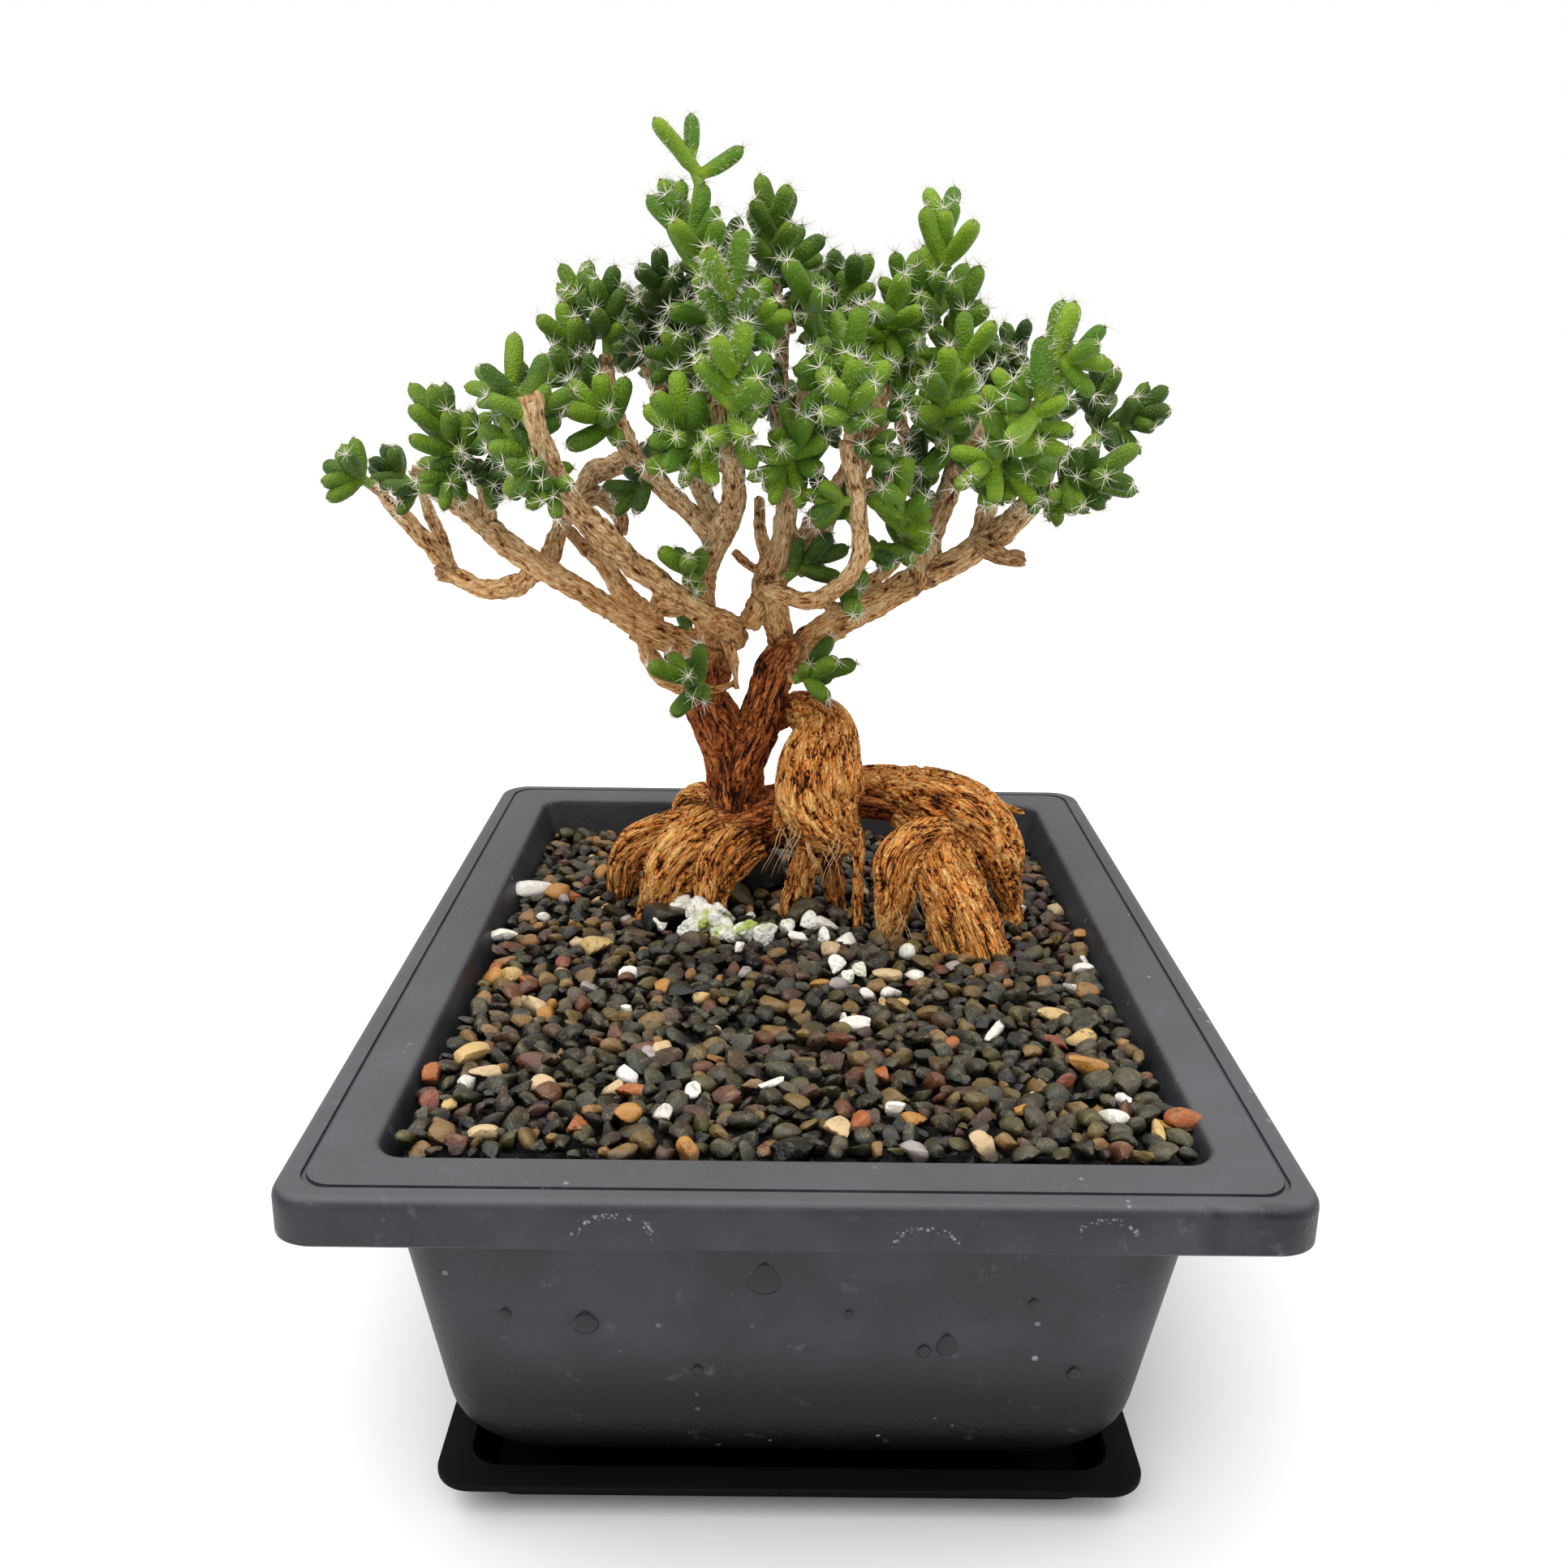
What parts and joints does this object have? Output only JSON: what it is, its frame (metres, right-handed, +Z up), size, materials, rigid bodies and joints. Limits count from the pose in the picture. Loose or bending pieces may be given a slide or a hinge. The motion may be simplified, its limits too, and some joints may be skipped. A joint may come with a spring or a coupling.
{
  "type": "potted succulent",
  "caption": "Small succulent bonsai with exposed gnarled roots, crooked branches and plump leaves, in gravel in a rectangular pot on a drip tray.",
  "frame": {"origin": "middle of the flat underside of the drip tray, where it stands on the ground", "axes": "+Z up along the trunk; +X to the right along the short side of the pot as seen from the front; the front, with the large bare area of gravel, faces -Y"},
  "size_m": [0.1392, 0.16, 0.1818],
  "materials": {
    "tray": "satin",
    "pot": "matte",
    "soil": "matte",
    "gravel": "satin",
    "pumice": "matte",
    "wood": "matte",
    "spray_left_end": "satin",
    "spray_left_rear": "satin",
    "spray_left_upper": "satin",
    "spray_left_back": "satin",
    "spray_left_inner": "satin",
    "spray_left_high": "satin",
    "spray_left_shoulder": "satin",
    "spray_left_crest": "satin",
    "spray_left_fill": "satin",
    "spray_front_left": "satin",
    "spray_front_centre_left": "satin",
    "spray_rear_shoulder": "satin",
    "spray_rear_peak": "satin",
    "spray_top": "satin",
    "spray_top_side": "satin",
    "spray_bud": "satin",
    "spray_front_stub_back": "satin",
    "spray_crown": "satin",
    "spray_crown_back": "satin",
    "spray_crown_front": "satin",
    "spray_tall_leaf": "satin",
    "spray_crown_right": "satin",
    "spray_right_crest": "satin",
    "spray_right_top": "satin",
    "spray_right_peak": "satin",
    "spray_right_back": "satin",
    "spray_front_right_pair": "satin",
    "spray_front_centre": "satin",
    "spray_front_middle": "satin",
    "spray_front_right_mid": "satin",
    "spray_right_rear": "satin",
    "spray_front_right": "satin",
    "spray_right_far": "satin",
    "spray_right_end": "satin",
    "spray_right_nook": "satin",
    "spray_mid_right": "satin",
    "spray_mid_right_back": "satin",
    "spray_hook_left": "satin",
    "spray_hook_inside": "satin",
    "spray_hook_right": "satin",
    "spray_arm_bud": "satin",
    "spray_low_left_bud": "satin",
    "spray_trunk_left": "satin",
    "spray_trunk_right": "satin",
    "spray_trunk_rear": "satin",
    "spray_back_left": "satin",
    "spray_back_middle": "satin",
    "spray_back_right": "satin",
    "spray_back_right_low": "satin",
    "spray_back_top": "satin"
  },
  "bodies": {
    "root": {"tray": "tray", "pot": "pot", "soil": "soil", "gravel": "gravel", "pumice": "pumice", "wood": "wood", "spray_left_end": "spray_left_end", "spray_left_rear": "spray_left_rear", "spray_left_upper": "spray_left_upper", "spray_left_back": "spray_left_back", "spray_left_inner": "spray_left_inner", "spray_left_high": "spray_left_high", "spray_left_shoulder": "spray_left_shoulder", "spray_left_crest": "spray_left_crest", "spray_left_fill": "spray_left_fill", "spray_front_left": "spray_front_left", "spray_front_centre_left": "spray_front_centre_left", "spray_rear_shoulder": "spray_rear_shoulder", "spray_rear_peak": "spray_rear_peak", "spray_top": "spray_top", "spray_top_side": "spray_top_side", "spray_bud": "spray_bud", "spray_front_stub_back": "spray_front_stub_back", "spray_crown": "spray_crown", "spray_crown_back": "spray_crown_back", "spray_crown_front": "spray_crown_front", "spray_tall_leaf": "spray_tall_leaf", "spray_crown_right": "spray_crown_right", "spray_right_crest": "spray_right_crest", "spray_right_top": "spray_right_top", "spray_right_peak": "spray_right_peak", "spray_right_back": "spray_right_back", "spray_front_right_pair": "spray_front_right_pair", "spray_front_centre": "spray_front_centre", "spray_front_middle": "spray_front_middle", "spray_front_right_mid": "spray_front_right_mid", "spray_right_rear": "spray_right_rear", "spray_front_right": "spray_front_right", "spray_right_far": "spray_right_far", "spray_right_end": "spray_right_end", "spray_right_nook": "spray_right_nook", "spray_mid_right": "spray_mid_right", "spray_mid_right_back": "spray_mid_right_back", "spray_hook_left": "spray_hook_left", "spray_hook_inside": "spray_hook_inside", "spray_hook_right": "spray_hook_right", "spray_arm_bud": "spray_arm_bud", "spray_low_left_bud": "spray_low_left_bud", "spray_trunk_left": "spray_trunk_left", "spray_trunk_right": "spray_trunk_right", "spray_trunk_rear": "spray_trunk_rear", "spray_back_left": "spray_back_left", "spray_back_middle": "spray_back_middle", "spray_back_right": "spray_back_right", "spray_back_right_low": "spray_back_right_low", "spray_back_top": "spray_back_top"}
  },
  "joints": []
}
